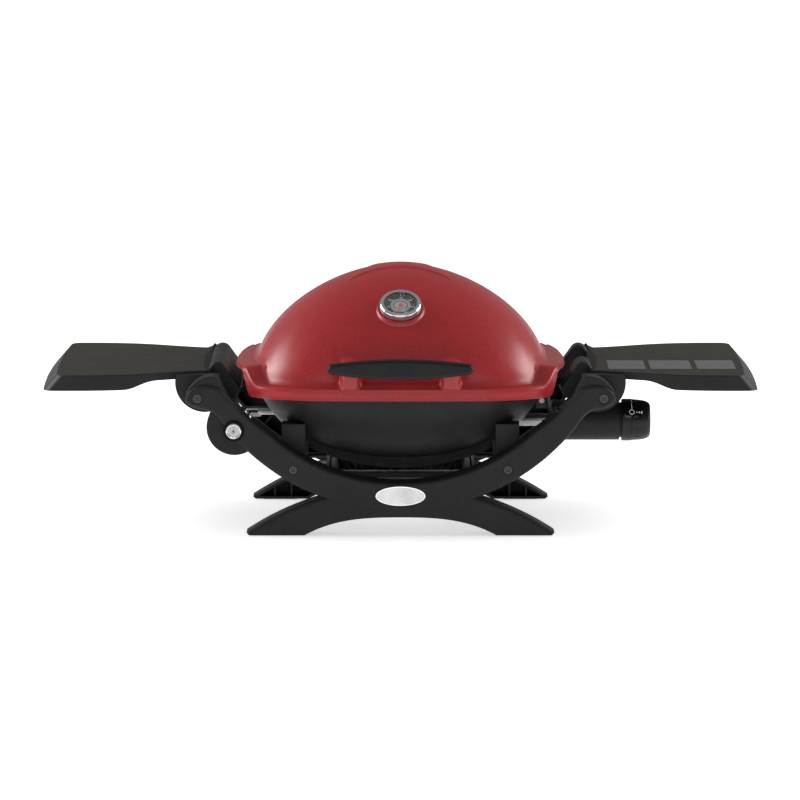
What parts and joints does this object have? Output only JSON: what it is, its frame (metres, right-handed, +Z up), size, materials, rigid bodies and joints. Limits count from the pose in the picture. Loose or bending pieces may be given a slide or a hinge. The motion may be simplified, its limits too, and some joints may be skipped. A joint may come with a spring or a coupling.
{
  "type": "portable tabletop grill",
  "caption": "Portable gas tabletop grill with a domed red lid, black arched frames, folding side tables, a control knob and a push-button igniter.",
  "frame": {"origin": "centre of the footprint on the surface the feet stand on", "axes": "+Z up, -Y towards the cook (front of the lid), +X towards the control knob"},
  "size_m": [1.0394, 0.422, 0.3725],
  "materials": {
    "frame_nylon": "fine moulded texture",
    "table_nylon": "fine moulded texture",
    "handle_nylon": "satin",
    "knob_black": "satin gloss",
    "gloss_black": "gloss",
    "button_white": "satin",
    "foot_rubber": "matte",
    "lead_rubber": "satin",
    "red_enamel": "satin enamel with a fine grain",
    "cast_black": "as cast, painted black",
    "pan_aluminium": "dull",
    "foil": "crinkled foil",
    "satin_silver": "satin",
    "gauge_chrome": "polished",
    "burner_steel": "satin",
    "zinc_steel": "zinc plated",
    "black_screw": "black phosphate",
    "black_steel": "satin black",
    "grate_iron": "glossy porcelain enamel",
    "gauge_dial": "printed, matte",
    "gauge_glass": "clear",
    "needle_red": "matte",
    "bush_acetal": "satin",
    "label_grey": "satin film",
    "battery_jacket": "gloss",
    "electrode_ceramic": "glazed",
    "valve_brass": "machined"
  },
  "bodies": {
    "base": {"front_frame": "frame_nylon", "rear_frame": "frame_nylon", "badge_plate": "satin_silver", "cross_member_left": "frame_nylon", "cross_member_right": "frame_nylon", "valve_bracket": "black_steel", "bracket_screws": "zinc_steel", "pan_rail_front": "black_steel", "pan_rail_rear": "black_steel", "foot_pads": "foot_rubber", "frame_screws": "black_screw", "hinge_bolts": "black_screw", "hinge_nuts": "zinc_steel", "cookbox": "cast_black", "cookbox_bolts": "zinc_steel", "grate_left": "grate_iron", "grate_right": "grate_iron", "burner_tube": "burner_steel", "burner_retainer": "zinc_steel", "lid_hinge_pins": "zinc_steel", "igniter_bezel": "gloss_black", "igniter_module": "gloss_black", "igniter_nut": "handle_nylon", "igniter_battery": "battery_jacket", "igniter_lead": "lead_rubber", "igniter_electrode": "electrode_ceramic", "valve_body": "valve_brass", "regulator": "satin_silver", "gas_inlet": "valve_brass", "valve_housing": "frame_nylon"},
    "lid_assembly": {"lid": "red_enamel", "lid_handle": "handle_nylon", "handle_screws": "zinc_steel", "handle_spacers": "handle_nylon", "thermometer_case": "satin_silver", "thermometer_bezel": "gauge_chrome", "thermometer_dial": "gauge_dial", "thermometer_lens": "gauge_glass", "thermometer_probe": "burner_steel", "thermometer_nut": "zinc_steel"},
    "needle": {"thermometer_needle": "needle_red"},
    "right_table": {"side_table_right": "table_nylon", "table_bushings_right": "bush_acetal", "label_plates": "label_grey"},
    "left_table": {"side_table_left": "table_nylon", "table_bushings_left": "bush_acetal"},
    "stem": {"valve_stem": "valve_brass"},
    "knob": {"control_knob": "knob_black"},
    "button": {"igniter_button": "button_white"},
    "pan": {"catch_pan": "pan_aluminium", "drip_pan": "foil"}
  },
  "joints": [
    {"name": "lid_hinge", "type": "hinge", "parent": "base", "child": "lid_assembly", "pos_m": [0, 0.203, 0.207], "axis": [-1, 0, 0], "range_deg": [0, 75]},
    {"name": "needle_turn", "type": "hinge", "parent": "lid_assembly", "child": "needle", "pos_m": [0, -0.09597, 0.323], "axis": [0, -0.5299, 0.848], "range_deg": [-240, 0]},
    {"name": "right_table_fold", "type": "hinge", "parent": "base", "child": "right_table", "pos_m": [0.2932, 0, 0.2012], "axis": [0, -1, 0], "range_deg": [0, 90]},
    {"name": "left_table_fold", "type": "hinge", "parent": "base", "child": "left_table", "pos_m": [-0.2932, 0, 0.2012], "axis": [0, 1, 0], "range_deg": [0, 90]},
    {"name": "valve_turn", "type": "hinge", "parent": "base", "child": "stem", "pos_m": [0.31, 0, 0.1435], "axis": [-1, 0, 0], "range_deg": [0, 180]},
    {"name": "knob_push", "type": "slide", "parent": "stem", "child": "knob", "axis": [-1, 0, 0], "range_m": [0, 0.003], "stiffness_N_per_m": 2000, "springref_m": -0.001},
    {"name": "igniter_press", "type": "slide", "parent": "base", "child": "button", "axis": [0, 1, 0], "range_m": [0, 0.004], "stiffness_N_per_m": 800, "springref_m": -0.001},
    {"name": "catch_pan_slide", "type": "slide", "parent": "base", "child": "pan", "axis": [-1, 0, 0], "range_m": [0, 0.17]}
  ]
}
